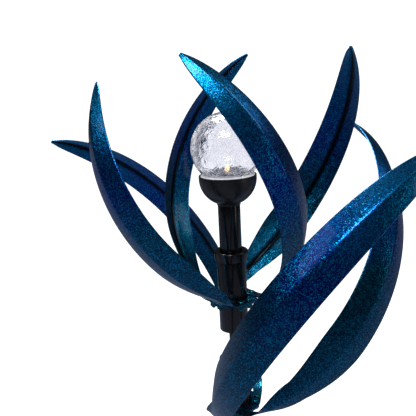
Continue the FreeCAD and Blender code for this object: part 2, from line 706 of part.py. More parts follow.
def make_electrics(top):
    """Solar cell, light-emitting diode, circuit board, battery and its two contacts."""
    ring("solar_cell", size("led_hole"), size("cell_radius"), size("deck_top"), size("cell_thickness"), top)
    board_top = size("board_foot") + size("board_thickness")
    ring("circuit_board", ZERO, size("board_radius"), size("board_foot"), size("board_thickness"), top)
    dome = size("led_top") - size("led_radius")
    stem = primitive("Cylinder", "led_stem", top + board_top,
                     Radius=size("led_radius"), Height=dome - board_top)
    bulb = primitive("Sphere", "led_bulb", top + dome, Radius=size("led_radius"))
    keep(joined("Fuse", "led_body", stem, bulb), "led")

    half = size("battery_length") * 0.5
    battery = doc.addObject("Part::Cylinder", "battery_can")
    bind(battery, "Radius", size("battery_radius"))
    bind(battery, "Height", size("battery_length"))
    battery.Placement = Placement(Vector(0, 0, 0), Rotation(Vector(0, 1, 0), 90))
    place(battery, top + size("battery_height"), ZERO - half, ZERO - size("battery_radius") * 0.6)
    keep(battery, "battery")
    contacts = []
    for word, x in (("left", ZERO - half - size("contact_thickness")), ("right", half)):
        foot = size("battery_height") - size("contact_width") * 0.5
        contacts.append(primitive("Box", "contact_" + word, top + foot, x,
                                  ZERO - size("battery_radius") * 0.6 - size("contact_width") * 0.5,
                                  Length=size("contact_thickness"), Width=size("contact_width"),
                                  Height=size("contact_width")))
    keep(joined("Fuse", "contact_pair", contacts[0], contacts[1]), "battery_contacts")


# ---------------------------------------------------------------- the whole part


def report_faults():
    """Stop if any object failed or any sub-part is empty or not valid."""
    for item in doc.Objects:
        if "Invalid" in item.State or "Error" in item.State:
            raise RuntimeError("%s failed: %s" % (item.Name, item.State))
    for piece in sub_parts:
        if piece.Shape.isNull() or not piece.Shape.isValid() or not piece.Shape.Solids:
            raise RuntimeError("%s has no valid solid" % piece.Label)


def main():
    """Build every sub-part, check them all and write one file for each."""
    make_stake()
    make_pole()
    make_pole_screws()
    for name, rotor in ROTORS.items():
        make_hub(name)
        make_bolts(name)
        for number, (heading, trim) in enumerate(zip(rotor["headings"], rotor["trim"]), start=1):
            make_blade(name, number, heading, trim)
    make_lamp_carrier()
    make_lamp()
    doc.recompute()
    report_faults()
    os.makedirs("parts", exist_ok=True)
    for piece in sub_parts:
        piece.Shape.exportStep("parts/%s.step" % piece.Label)
        print("%-22s %2d solids %10.1f mm3" % (piece.Label, len(piece.Shape.Solids), piece.Shape.Volume))
    print(len(sub_parts), "sub-parts")


main()
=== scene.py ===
"""Looks of a dual counter-turning garden wind sculpture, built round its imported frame. Metres, +Z up."""
import json
import math

import bmesh
import bpy
from mathutils import Matrix, Vector, noise

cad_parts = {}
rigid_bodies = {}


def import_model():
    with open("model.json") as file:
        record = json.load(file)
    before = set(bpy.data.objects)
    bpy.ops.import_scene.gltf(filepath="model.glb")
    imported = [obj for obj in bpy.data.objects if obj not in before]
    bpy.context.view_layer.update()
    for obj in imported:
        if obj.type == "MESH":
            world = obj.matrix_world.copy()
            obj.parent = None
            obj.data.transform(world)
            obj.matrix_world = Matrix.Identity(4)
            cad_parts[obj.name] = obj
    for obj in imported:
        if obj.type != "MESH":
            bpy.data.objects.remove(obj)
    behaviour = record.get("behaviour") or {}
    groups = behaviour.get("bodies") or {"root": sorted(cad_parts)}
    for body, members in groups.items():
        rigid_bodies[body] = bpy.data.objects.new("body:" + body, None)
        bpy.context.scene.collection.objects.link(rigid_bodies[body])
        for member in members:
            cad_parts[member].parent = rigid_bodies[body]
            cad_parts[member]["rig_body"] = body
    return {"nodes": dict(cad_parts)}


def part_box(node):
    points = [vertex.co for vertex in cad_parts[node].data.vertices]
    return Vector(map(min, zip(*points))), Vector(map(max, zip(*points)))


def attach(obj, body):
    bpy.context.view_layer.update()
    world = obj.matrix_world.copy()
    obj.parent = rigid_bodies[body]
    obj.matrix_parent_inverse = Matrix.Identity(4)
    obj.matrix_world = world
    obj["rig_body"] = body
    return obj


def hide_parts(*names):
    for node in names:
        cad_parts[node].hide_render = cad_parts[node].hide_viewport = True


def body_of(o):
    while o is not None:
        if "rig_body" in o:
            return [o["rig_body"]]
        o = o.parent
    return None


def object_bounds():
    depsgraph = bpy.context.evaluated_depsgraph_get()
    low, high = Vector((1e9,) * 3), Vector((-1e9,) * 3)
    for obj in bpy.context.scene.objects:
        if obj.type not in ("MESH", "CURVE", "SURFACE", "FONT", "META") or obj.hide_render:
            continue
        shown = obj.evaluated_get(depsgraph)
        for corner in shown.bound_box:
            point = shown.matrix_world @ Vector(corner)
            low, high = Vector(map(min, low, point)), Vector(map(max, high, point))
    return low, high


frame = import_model()
CAD_LOW, CAD_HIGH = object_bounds()
MM = 0.001
HUB_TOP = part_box("upper_collar")[1].z

# ---------------------------------------------------------------- camera


def make_camera():
    """A camera a little above the upper hub, as the sculpture is seen from the front."""
    data = bpy.data.cameras.new("camera")
    data.sensor_width = 36.0
    data.lens = 51.92
    data.clip_start = 0.05
    data.clip_end = 60.0
    camera = bpy.data.objects.new("camera", data)
    bpy.context.scene.collection.objects.link(camera)
    camera.location = Vector((0.0, -0.66003, HUB_TOP + 0.20849))
    camera.rotation_euler = [math.radians(angle) for angle in (76.535, 2.919, 1.366)]
    bpy.context.scene.camera = camera


# ---------------------------------------------------------------- shader helpers


class Nodes:
    """A material's node tree with short calls for the nodes used here."""

    def __init__(self, name):
        self.material = bpy.data.materials.new(name)
        self.material.use_nodes = True
        self.tree = self.material.node_tree
        self.shader = self.tree.nodes["Principled BSDF"]
        self.output = self.tree.nodes["Material Output"]
        self.place = self.tree.nodes.new("ShaderNodeTexCoord").outputs["Object"]

    def link(self, source, target):
        """Join two sockets."""
        self.tree.links.new(source, target)

    def set(self, **values):
        """Set the shader's own sockets. An underscore in a name stands for a space."""
        for name, value in values.items():
            self.shader.inputs[name.replace("_", " ")].default_value = value

    def feed(self, name, source):
        """Join a socket to one of the shader's inputs."""
        self.link(source, self.shader.inputs[name])

    def noise(self, scale, detail=2.0, rough=0.5, source=None):
        """A noise texture and its factor socket."""
        node = self.tree.nodes.new("ShaderNodeTexNoise")
        node.inputs["Scale"].default_value = scale
        node.inputs["Detail"].default_value = detail
        node.inputs["Roughness"].default_value = rough
        self.link(source or self.place, node.inputs["Vector"])
        return node.outputs["Fac"]

    def cells(self, scale, feature="F1", source=None):
        """A Voronoi texture node."""
        node = self.tree.nodes.new("ShaderNodeTexVoronoi")
        node.feature = feature
        node.inputs["Scale"].default_value = scale
        self.link(source or self.place, node.inputs["Vector"])
        return node

    def ramp(self, source, *stops):
        """A colour ramp through (place, colour) stops."""
        node = self.tree.nodes.new("ShaderNodeValToRGB")
        marks = node.color_ramp.elements
        while len(marks) < len(stops):
            marks.new(0.5)
        for mark, (place, colour) in zip(marks, stops):
            mark.position = place
            mark.color = (*colour, 1.0)
        self.link(source, node.inputs["Fac"])
        return node.outputs["Color"]

    def grey(self, source, *stops):
        """A ramp of plain values through (place, value) stops."""
        return self.ramp(source, *[(place, (value, value, value)) for place, value in stops])

    def mix(self, factor, first, second, blend="MIX"):
        """Mix two colours. Each may be a socket or a plain colour."""
        node = self.tree.nodes.new("ShaderNodeMix")
        node.data_type = "RGBA"
        node.blend_type = blend
        for socket, value in ((node.inputs[0], factor), (node.inputs[6], first), (node.inputs[7], second)):
            if isinstance(value, bpy.types.NodeSocket):
                self.link(value, socket)
            elif isinstance(value, tuple):
                socket.default_value = (*value, 1.0)
            else:
                socket.default_value = value
        return node.outputs[2]

    def math(self, kind, first, second=0.0):
        """A math node on sockets or numbers."""
        node = self.tree.nodes.new("ShaderNodeMath")
        node.operation = kind
        for socket, value in zip(node.inputs, (first, second)):
            if isinstance(value, bpy.types.NodeSocket):
                self.link(value, socket)
            else:
                socket.default_value = value
        return node.outputs[0]

    def attribute(self, name):
        """The value of a mesh attribute."""
        node = self.tree.nodes.new("ShaderNodeAttribute")
        node.attribute_name = name
        return node.outputs["Fac"]

    def bump(self, height, strength, distance):
        """A bump node on a height socket."""
        node = self.tree.nodes.new("ShaderNodeBump")
        node.inputs["Strength"].default_value = strength
        node.inputs["Distance"].default_value = distance
        self.link(height, node.inputs["Height"])
        return node.outputs["Normal"]

    def tilted_normal(self, colour, amount):
        """The surface normal tilted at random by a cell colour."""
        geometry = self.tree.nodes.new("ShaderNodeNewGeometry")
        centred = self.tree.nodes.new("ShaderNodeVectorMath")
        centred.operation = "SUBTRACT"
        centred.inputs[1].default_value = (0.5, 0.5, 0.5)
        self.link(colour, centred.inputs[0])
        added = self.tree.nodes.new("ShaderNodeVectorMath")
        added.operation = "MULTIPLY_ADD"
        added.inputs[1].default_value = (amount, amount, amount)
        self.link(centred.outputs[0], added.inputs[0])
        self.link(geometry.outputs["Normal"], added.inputs[2])
        unit = self.tree.nodes.new("ShaderNodeVectorMath")
        unit.operation = "NORMALIZE"
        self.link(added.outputs[0], unit.inputs[0])
        return unit.outputs[0]


# ---------------------------------------------------------------- materials


def paint(name, root, middle, tip, flake):
    """Metal-flake candy paint under a clear coat, from the root's colour to the tip's, with painted shade in
    the inner groove.
    """
    nodes = Nodes(name)
    along = nodes.attribute("along")
    groove_and_painted_shade = nodes.attribute("groove_and_painted_shade")
    cloud = nodes.noise(22.0, 3.0)
    reach = nodes.math("ADD", along, nodes.math("MULTIPLY", nodes.math("SUBTRACT", cloud, 0.5), 0.22))
    body = nodes.ramp(reach, (0.0, root), (0.34, root), (0.56, middle), (1.0, tip))
    cells = nodes.cells(1500.0)
    split = nodes.tree.nodes.new("ShaderNodeSeparateColor")
    nodes.link(cells.outputs["Color"], split.inputs[0])
    mottle = nodes.grey(nodes.noise(800.0, 2.0), (0.35, 0.35), (0.65, 1.6))
    body = nodes.mix(1.0, body, mottle, "MULTIPLY")
    lit = nodes.grey(split.outputs[0], (0.72, 0.0), (0.95, 0.75))
    body = nodes.mix(lit, body, flake)
    # painted shade: the inner face turns near black along the middle of its groove
    body = nodes.mix(groove_and_painted_shade, body, (0.0, 0.002, 0.004))
    nodes.feed("Base Color", body)
    nodes.feed("Normal", nodes.tilted_normal(cells.outputs["Color"], 0.26))
    nodes.set(Metallic=0.97, Roughness=0.29, Coat_Weight=0.16, Coat_Roughness=0.06, Coat_IOR=1.5)
    peel = nodes.bump(nodes.noise(150.0, 2.0), 0.25, 0.35 * MM)
    nodes.feed("Coat Normal", peel)
    return nodes.material


def hard_plastic(name, colour, rough, grain, coat=0.0):
    """Moulded plastic or enamel with a fine grain and soft tone changes."""
    nodes = Nodes(name)
    tone = nodes.grey(nodes.noise(45.0, 4.0), (0.3, 0.75), (0.7, 1.2))
    nodes.feed("Base Color", nodes.mix(1.0, colour, tone, "MULTIPLY"))
    nodes.feed("Roughness", nodes.grey(nodes.noise(160.0, 3.0), (0.3, rough * 0.8), (0.7, rough * 1.25)))
    nodes.feed("Normal", nodes.bump(nodes.noise(900.0, 2.0), grain, 0.08 * MM))
    nodes.set(Coat_Weight=coat, Coat_Roughness=0.06)
    return nodes.material


def metal(name, colour, rough, brush, metallic=1.0):
    """Bare or dark-coated metal with fine turning marks and a little wear in its gloss."""
    nodes = Nodes(name)
    stretch = nodes.tree.nodes.new("ShaderNodeMapping")
    stretch.inputs["Scale"].default_value = (60.0, 60.0, 900.0)
    nodes.link(nodes.place, stretch.inputs["Vector"])
    marks = nodes.noise(1.0, 3.0, source=stretch.outputs["Vector"])
    tone = nodes.grey(nodes.noise(70.0, 4.0), (0.3, 0.8), (0.7, 1.12))
    nodes.feed("Base Color", nodes.mix(1.0, colour, tone, "MULTIPLY"))
    nodes.feed("Roughness", nodes.grey(nodes.noise(300.0, 3.0), (0.3, rough * 0.75), (0.7, rough * 1.3)))
    nodes.feed("Normal", nodes.bump(marks, brush, 0.06 * MM))
    nodes.set(Metallic=metallic)
    return nodes.material


def crackle_glass():
    """Pale glass with whitish crackle lines on the inside of the wall."""
    nodes = Nodes("crackle_glass")
    wave = nodes.tree.nodes.new("ShaderNodeVectorMath")
    wave.operation = "MULTIPLY_ADD"
    wave.inputs[1].default_value = (0.006, 0.006, 0.006)
    swirl = nodes.tree.nodes.new("ShaderNodeTexNoise")
    swirl.inputs["Scale"].default_value = 90.0
    nodes.link(nodes.place, swirl.inputs["Vector"])
    nodes.link(swirl.outputs["Color"], wave.inputs[0])
    nodes.link(nodes.place, wave.inputs[2])
    crack = nodes.cells(120.0, "DISTANCE_TO_EDGE", wave.outputs[0]).outputs["Distance"]
    fine = nodes.cells(330.0, "DISTANCE_TO_EDGE", wave.outputs[0]).outputs["Distance"]
    lines = nodes.grey(crack, (0.0, 1.0), (0.035, 0.0))
    small = nodes.grey(fine, (0.0, 0.6), (0.04, 0.0))
    inner = nodes.attribute("inner")
    mask = nodes.math("MULTIPLY", nodes.math("MAXIMUM", lines, small), inner)
    nodes.set(Transmission_Weight=1.0, IOR=1.46, Base_Color=(0.84, 0.845, 0.89, 1.0))
    nodes.feed("Roughness", nodes.math("MULTIPLY", mask, 0.45))
    height = nodes.math("MULTIPLY", nodes.math("MINIMUM", crack, 0.12), inner)
    nodes.feed("Normal", nodes.bump(height, 0.3, 2.0 * MM))
    frost = nodes.tree.nodes.new("ShaderNodeBsdfTranslucent")
    frost.inputs["Color"].default_value = (0.93, 0.94, 1.0, 1.0)
    blend = nodes.tree.nodes.new("ShaderNodeMixShader")
    nodes.link(nodes.math("MULTIPLY", mask, 0.45), blend.inputs[0])
    nodes.link(nodes.shader.outputs[0], blend.inputs[1])
    nodes.link(frost.outputs[0], blend.inputs[2])
    nodes.link(blend.outputs[0], nodes.output.inputs["Surface"])
    return nodes.material


def solar_silicon():
    """Dark blue silicon wafer with faint crystal grain."""
    nodes = Nodes("solar")
    crystal = nodes.cells(260.0).outputs["Color"]
    tone = nodes.ramp(crystal, (0.2, (0.004, 0.007, 0.022)), (0.8, (0.010, 0.018, 0.060)))
    nodes.feed("Base Color", tone)
    nodes.feed("Roughness", nodes.grey(nodes.noise(400.0), (0.3, 0.16), (0.7, 0.28)))
    nodes.set(Coat_Weight=0.7, Coat_Roughness=0.05)
    return nodes.material


def led_lens():
    """The diode's clear lens, lit warm from inside."""
    nodes = Nodes("led_lens")
    glow = nodes.ramp(nodes.noise(500.0), (0.3, (1.0, 0.62, 0.25)), (0.7, (1.0, 0.80, 0.50)))
    nodes.feed("Base Color", glow)
    nodes.feed("Emission Color", glow)
    nodes.set(Emission_Strength=1.4, Roughness=0.15)
    return nodes.material


MATERIALS = {
    "blade_paint": paint("blade_paint", (0.001, 0.042, 0.090), (0.001, 0.012, 0.200), (0.001, 0.130, 0.280),
                         (0.0, 0.40, 0.78)),
    "bolt_paint": paint("bolt_paint", (0.003, 0.090, 0.110), (0.003, 0.090, 0.110), (0.003, 0.090, 0.110),
                        (0.0, 0.40, 0.50)),
    "dark_steel": metal("dark_steel", (0.018, 0.018, 0.020), 0.42, 0.25, metallic=0.35),
    "bright_steel": metal("bright_steel", (0.62, 0.62, 0.64), 0.26, 0.30),
    "nylon": hard_plastic("nylon", (0.55, 0.54, 0.50), 0.5, 0.2),
    "black_gloss": hard_plastic("black_gloss", (0.002, 0.0016, 0.002), 0.16, 0.04),
    "black_satin": hard_plastic("black_satin", (0.003, 0.003, 0.004), 0.30, 0.12),
    "black_plastic": hard_plastic("black_plastic", (0.016, 0.016, 0.018), 0.48, 0.25),
    "white_plastic": hard_plastic("white_plastic", (0.72, 0.72, 0.74), 0.35, 0.10),
    "solar": solar_silicon(),
    "board": hard_plastic("board", (0.02, 0.13, 0.05), 0.35, 0.20),
    "led_lens": led_lens(),
    "battery_wrap": hard_plastic("battery_wrap", (0.04, 0.20, 0.09), 0.30, 0.05),
    "contact_metal": metal("contact_metal", (0.72, 0.66, 0.52), 0.25, 0.20),
    "crackle_glass": crackle_glass(),
    "seal_rubber": hard_plastic("seal_rubber", (0.55, 0.56, 0.60), 0.45, 0.15),
}
SILVER_INK = metal("silver_ink", (0.62, 0.62, 0.65), 0.30, 0.10)

# ---------------------------------------------------------------- pieces made from the frame's own shapes

# metres, and angles in degrees: edges over the sharp angle are rounded, under the flat angle dissolved
WELD = 1e-6
SHARP_ANGLE = 38.0
FLAT_ANGLE = 0.6


def body_name(node):
    """The body that a CAD node rides on."""
    return body_of(frame["nodes"][node])[0]


def add_piece(name, mesh, slot, node, smooth_angle=35.0):
    """Link a mesh as the piece that stands for a CAD node, and give it its finish."""
    piece = bpy.data.objects.new(name, mesh)
    bpy.context.scene.collection.objects.link(piece)
    mesh.shade_smooth()
    mesh.set_sharp_from_angle(angle=math.radians(smooth_angle))
    if not mesh.materials:
        mesh.materials.append(MATERIALS[slot])
    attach(piece, body_name(node))
    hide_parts(node)
    return piece


def eased(node, slot, radius):
    """Stand in for a rigid node: its own shape with eased edges and smooth round faces."""
    shape = bmesh.new()
    shape.from_mesh(frame["nodes"][node].data)
    bmesh.ops.remove_doubles(shape, verts=shape.verts, dist=WELD)
    bmesh.ops.dissolve_limit(shape, angle_limit=math.radians(FLAT_ANGLE), verts=shape.verts,
                             edges=shape.edges)
    edges = [edge for edge in shape.edges
             if len(edge.link_faces) == 2 and edge.calc_face_angle() > math.radians(SHARP_ANGLE)]
    bmesh.ops.bevel(shape, geom=edges, offset=radius * MM, offset_type="OFFSET", segments=2, profile=0.5,
                    affect="EDGES", clamp_overlap=True)
    mesh = bpy.data.meshes.new(node + "_eased")
    shape.to_mesh(mesh)
    shape.free()
    return add_piece(node + "_finished", mesh, slot, node)


# ---------------------------------------------------------------- blades

# Each leaf follows an arc in a leaning plane. Lengths in millimetres and angles in degrees; heights are
# from the top of the blade plate, and headings are the directions of the blades' roots.
LEAVES = {
    "upper": {
        "side": -1, "headings": (220.8, 309.0, 42.7, 131.0), "trim": (12.0, 0.0, 0.0, 0.0),
        "radius": 180.0, "start": 7.8, "offset": -22.9,
        "back": 15.0, "drop": 0.0, "rise": 17.9, "tilt": 27.5, "turn": 122.3, "width": 48.0,
        "twist": (-3.4, 4.7), "first": 0.12,
    },
    "lower": {
        "side": 1, "headings": (253.9, 326.5, 81.7), "trim": (0.0, 0.0, 0.0),
        "radius": 219.7, "start": 30.8, "offset": -11.0,
        "back": 8.5, "drop": 0.6, "rise": 28.3, "tilt": 37.7, "turn": 130.1, "width": 50.5,
        "twist": (35.5, -15.0), "first": 0.13,
    },
}
SHEET = 1.6
TONGUE_OFFSET = 23.0
TONGUE_WIDTH = 11.0
TONGUE_FRONT = 13.0
TONGUE_CORNER = 3.0
CREASE = 0.18
TIP_WIDTH = 5.0
ROOT_SHARE = 0.27
GROOVE_WIDTH = 3.3
GROOVE_INSIDE = 1.7
GROOVE_OUTSIDE = 0.7
WING_ROUNDING = 0.45
STATIONS = 90
ACROSS = 18
CROWDING = 1.4
ROOT_STEPS = 12
ROOT_PULL = 0.42
STATION_POWER = 0.9


def leaf_width(leaf, along):
    """The leaf's width at a fraction of its length."""
    swell = min(along / 0.30, 1.0)
    swell = swell * swell * (3 - 2 * swell)
    root = ROOT_SHARE + (1 - ROOT_SHARE) * swell
    taper = max(1 - along ** 4, 0.0) ** 0.6
    return max(leaf["width"] * root * taper, TIP_WIDTH)


def leaf_frame(leaf, along, trim):
    """The middle point of the leaf at a fraction of its length, with its across and inward directions."""
    rise = math.radians(leaf["rise"])
    tilt = math.radians(leaf["tilt"])
    angle = math.radians((leaf["turn"] - trim) * along)
    twist = math.radians(leaf["twist"][0] + (leaf["twist"][1] - leaf["twist"][0]) * along)
    forward = Vector((math.cos(rise), 0.0, math.sin(rise)))
    inward = Vector((0.0, leaf["side"] * math.sin(tilt), math.cos(tilt)))
    inward = (inward - forward * inward.dot(forward)).normalized()
    across = forward.cross(inward)
    root = Vector((leaf["start"], leaf["side"] * leaf["offset"], -leaf["drop"]))
    ahead = leaf["radius"] * math.sin(angle)
    raised = leaf["radius"] * (1 - math.cos(angle))
    point = root + forward * ahead + inward * raised
    normal = inward * math.cos(angle) - forward * math.sin(angle)
    axis_x = across * math.cos(twist) + normal * math.sin(twist)
    axis_y = normal * math.cos(twist) - across * math.sin(twist)
    return point, axis_x, axis_y


def section_points(width, crease, share):
    """The closed section of the sheet as (across, up, painted shade) points, share 0 flat and 1 fully formed.
    """
    half = width / 2
    lip = SHEET * 0.3
    reach = half - lip
    groove_and_painted_shade = GROOVE_WIDTH * min(half / 14.0, 1.0)

    full_wing = math.hypot(1.0, WING_ROUNDING) - WING_ROUNDING

    def height(across, depth):
        wing = (math.hypot(across / half, WING_ROUNDING) - WING_ROUNDING) / full_wing
        sunk = depth * (1 - math.exp(-(across / groove_and_painted_shade) ** 2))
        return sunk * share + max(crease - depth, 0.0) * wing

    places = []
    for step in range(-ACROSS, ACROSS + 1):
        share_out = math.sin(math.pi / 2 * abs(step) / ACROSS) ** CROWDING
        places.append(math.copysign(reach * share_out, step))
    outer = [(place, height(place, GROOVE_OUTSIDE), 0.0) for place in places]
    thin = SHEET - (GROOVE_INSIDE - GROOVE_OUTSIDE) * share
    inner = []
    for place in reversed(places):
        # painted shade in the groove of the inner face, strongest at its middle
        dark = math.exp(-(place / groove_and_painted_shade) ** 4) * share
        inner.append((place, thin + height(place, GROOVE_INSIDE), dark))
    edge = height(half, GROOVE_OUTSIDE)
    right = [(half, edge + SHEET * 0.3, 0.0), (half, edge + SHEET * 0.7, 0.0)]
    left = [(-half, edge + SHEET * 0.7, 0.0), (-half, edge + SHEET * 0.3, 0.0)]
    return outer + right + inner + left


def blended(first, second, share):
    """A point between two vectors."""
    return first + (second - first) * share


def blade_rings(name, heading, trim):
    """Rings of (point, along, painted shade) from the back of the tongue to the tip."""
    leaf = LEAVES[name]
    offset = -leaf["side"] * TONGUE_OFFSET
    wide = TONGUE_WIDTH
    flat = (Vector((0, -1, 0)), Vector((0, 0, 1)))
    stations = []
    end = leaf["back"]
    for back, inset in ((end, TONGUE_CORNER), (end - TONGUE_CORNER * 0.3, TONGUE_CORNER * 0.3),
                        (end - TONGUE_CORNER, 0.0), (end * 0.5, 0.0), (0.0, 0.0)):
        stations.append((Vector((-back, offset, 0)), *flat, wide - 2 * inset, 0.0, 0.0, 0.0))
    root = Vector((TONGUE_FRONT, offset, 0))
    first = leaf["first"]
    begin, begin_x, begin_y = leaf_frame(leaf, first, trim)
    after = leaf_frame(leaf, first + 0.01, trim)[0]
    pull = (begin - root).length * ROOT_PULL
    bend_a = root + Vector((pull, 0, 0))
    bend_b = begin - (after - begin).normalized() * pull
    for step in range(ROOT_STEPS):
        share = step / ROOT_STEPS
        ease = share * share * (3 - 2 * share)
        rest = 1 - share
        point = (root * rest ** 3 + bend_a * 3 * rest * rest * share + bend_b * 3 * rest * share * share
                 + begin * share ** 3)
        axis_x = blended(flat[0], begin_x, ease).normalized()
        axis_y = blended(flat[1], begin_y, ease)
        axis_y = (axis_y - axis_x * axis_y.dot(axis_x)).normalized()
        width = wide + (leaf_width(leaf, first) - wide) * ease
        stations.append((point, axis_x, axis_y, width, width * CREASE * ease, ease, 0.0))
    for step in range(STATIONS + 1):
        share = step / STATIONS
        along = first + (1 - first) * share ** STATION_POWER
        point, axis_x, axis_y = leaf_frame(leaf, along, trim)
        width = leaf_width(leaf, along)
        if step == STATIONS:
            width -= SHEET * 0.5
        stations.append((point, axis_x, axis_y, width, width * CREASE, 1.0, (along - first) / (1 - first)))
    turn = Matrix.Rotation(math.radians(heading), 3, "Z")
    base = Vector((0, 0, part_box(name + "_blade_plate")[1].z))
    rings = []
    for point, axis_x, axis_y, width, crease, share, along in stations:
        ring = []
        for across, up, groove_and_painted_shade in section_points(width, crease, share):
            place = turn @ ((point + axis_x * across + axis_y * up) * MM) + base
            ring.append((place, along, groove_and_painted_shade))
        rings.append(ring)
    return rings


def make_blade(name, number, heading, trim):
    """One blade: tongue and leaf as a single pressed sheet."""
    rings = blade_rings(name, heading, trim)
    shape = bmesh.new()
    along_layer = shape.verts.layers.float.new("along")
    # the painted groove shade is carried to the blade paint in this vertex attribute
    painted_shade_layer = shape.verts.layers.float.new("groove_and_painted_shade")
    rows = []
    for ring in rings:
        row = []
        for place, along, groove_and_painted_shade in ring:
            vertex = shape.verts.new(place)
            vertex[along_layer] = along
            vertex[painted_shade_layer] = groove_and_painted_shade
            row.append(vertex)
        rows.append(row)
    count = len(rows[0])
    for row, following in zip(rows, rows[1:]):
        for index in range(count):
            after = (index + 1) % count
            shape.faces.new((row[index], row[after], following[after], following[index]))
    half = count // 2
    for row, step in ((rows[0], 1), (rows[-1], -1)):
        for index in range(half - 1):
            corners = (row[index], row[-1 - index], row[-2 - index], row[index + 1])
            shape.faces.new(corners[::step])
    bmesh.ops.recalc_face_normals(shape, faces=shape.faces)
    label = "%s_blade_%d" % (name, number)
    mesh = bpy.data.meshes.new(label + "_sheet")
    shape.to_mesh(mesh)
    shape.free()
    return add_piece(label + "_sheet", mesh, "blade_paint", label, 50.0)


# ---------------------------------------------------------------- lamp

# millimetres, and counts of facets
GLASS_WALL = 2.5
GLASS_LIP = 0.5
GLOBE_FOOT_GAP = 0.3
GLOBE_TURNS = 160
OUTER_ROWS = 70
INNER_ROWS = 90
CELL_HOLE = 4.2
CELL_MARGIN = 0.8
INK_THICKNESS = 0.12
FINGERS_EACH_SIDE = 9
FINGER_SPACING = 2.2
FINGER_HALF_WIDTH = 0.11
BUS_PLACE = 9.0
BUS_HALF_WIDTH = 0.6


def make_globe():
    """The globe: a glass wall whose inside is cracked all over, with a rounded lip at the opening."""
    low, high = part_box("glass_globe")
    radius = (high.x - low.x) / 2
    centre = Vector((0, 0, high.z - radius))
    inside = radius - GLASS_WALL * MM
    foot = low.z - centre.z
    outer_end = math.acos((foot + GLOBE_FOOT_GAP * MM) / radius)
    inner_end = math.acos((foot + GLOBE_FOOT_GAP * MM) / inside)
    rows = []
    for step in range(1, OUTER_ROWS + 1):
        angle = outer_end * step / OUTER_ROWS
        rows.append((radius * math.sin(angle), radius * math.cos(angle), 0.0))
    rows.append((rows[-1][0] - GLASS_LIP * MM, foot, 0.0))
    rows.append((inside * math.sin(inner_end) + GLASS_LIP * MM, foot, 0.0))
    for step in range(INNER_ROWS, 0, -1):
        angle = inner_end * step / INNER_ROWS
        rows.append((inside * math.sin(angle), inside * math.cos(angle), 1.0))
    shape = bmesh.new()
    layer = shape.verts.layers.float.new("inner")

    def add(place, inner):
        if inner:
            near = noise.voronoi(place * 210.0)[0]
            coarse = noise.voronoi(place * 75.0 + Vector((3.0, 1.0, 2.0)))[0]
            fine_relief = min((near[1] - near[0]) / 0.35, 1.0) * 0.12
            coarse_relief = min((coarse[1] - coarse[0]) / 0.3, 1.0) * 0.2
            place = place * (1 - ((fine_relief + coarse_relief) * MM) / place.length)
        vertex = shape.verts.new(centre + place)
        vertex[layer] = inner
        return vertex

    top_outer = add(Vector((0, 0, radius)), 0.0)
    rings = []
    for across, height, inner in rows:
        ring = []
        for turn in range(GLOBE_TURNS):
            angle = 2 * math.pi * turn / GLOBE_TURNS
            ring.append(add(Vector((across * math.cos(angle), across * math.sin(angle), height)), inner))
        rings.append(ring)
    top_inner = add(Vector((0, 0, inside)), 1.0)
    for turn in range(GLOBE_TURNS):
        after = (turn + 1) % GLOBE_TURNS
        shape.faces.new((top_outer, rings[0][turn], rings[0][after]))
        shape.faces.new((top_inner, rings[-1][after], rings[-1][turn]))
        for row, following in zip(rings, rings[1:]):
            shape.faces.new((row[turn], following[turn], following[after], row[after]))
    bmesh.ops.recalc_face_normals(shape, faces=shape.faces)
    mesh = bpy.data.meshes.new("crackle_globe")
    shape.to_mesh(mesh)
    shape.free()
    return add_piece("crackle_globe", mesh, "crackle_glass", "glass_globe", 60.0)


def add_block(shape, low, high, material):
    """Add a box between two corners to a mesh under construction."""
    corners = [shape.verts.new((x, y, z)) for z in (low[2], high[2])
               for x, y in ((low[0], low[1]), (high[0], low[1]), (high[0], high[1]), (low[0], high[1]))]
    for order in ((3, 2, 1, 0), (4, 5, 6, 7), (0, 1, 5, 4), (1, 2, 6, 5), (2, 3, 7, 6), (3, 0, 4, 7)):
        face = shape.faces.new([corners[index] for index in order])
        face.material_index = material


def make_solar_cell():
    """The round solar cell with printed silver fingers and two bus bars."""
    low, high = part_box("solar_cell")
    ink = INK_THICKNESS * MM
    shape = bmesh.new()
    shape.from_mesh(frame["nodes"]["solar_cell"].data)
    bmesh.ops.remove_doubles(shape, verts=shape.verts, dist=WELD)
    for vertex in shape.verts:
        if vertex.co.z > (low.z + high.z) / 2:
            vertex.co.z = high.z - ink
    radius = (high.x - low.x) / 2 - CELL_MARGIN * MM
    hole = CELL_HOLE * MM
    half = FINGER_HALF_WIDTH * MM
    for step in range(-FINGERS_EACH_SIDE, FINGERS_EACH_SIDE + 1):
        middle = step * FINGER_SPACING * MM
        reach = math.sqrt(radius ** 2 - middle ** 2)
        gap = math.sqrt(max(hole ** 2 - middle ** 2, 0.0))
        spans = [(-reach, -gap), (gap, reach)] if gap else [(-reach, reach)]
        for near, far in spans:
            add_block(shape, (near, middle - half, high.z - ink), (far, middle + half, high.z), 1)
    half = BUS_HALF_WIDTH * MM
    for side in (-1, 1):
        across = side * BUS_PLACE * MM
        reach = math.sqrt(radius ** 2 - across ** 2)
        add_block(shape, (across - half, -reach, high.z - ink), (across + half, reach, high.z), 1)
    mesh = bpy.data.meshes.new("solar_cell_wafer")
    shape.to_mesh(mesh)
    shape.free()
    mesh.materials.clear()
    mesh.materials.append(MATERIALS["solar"])
    mesh.materials.append(SILVER_INK)
    return add_piece("solar_cell_wafer", mesh, "solar", "solar_cell")


# ---------------------------------------------------------------- stage

FLOOR_HALF = 15.0
FLOOR_GAP = 0.5


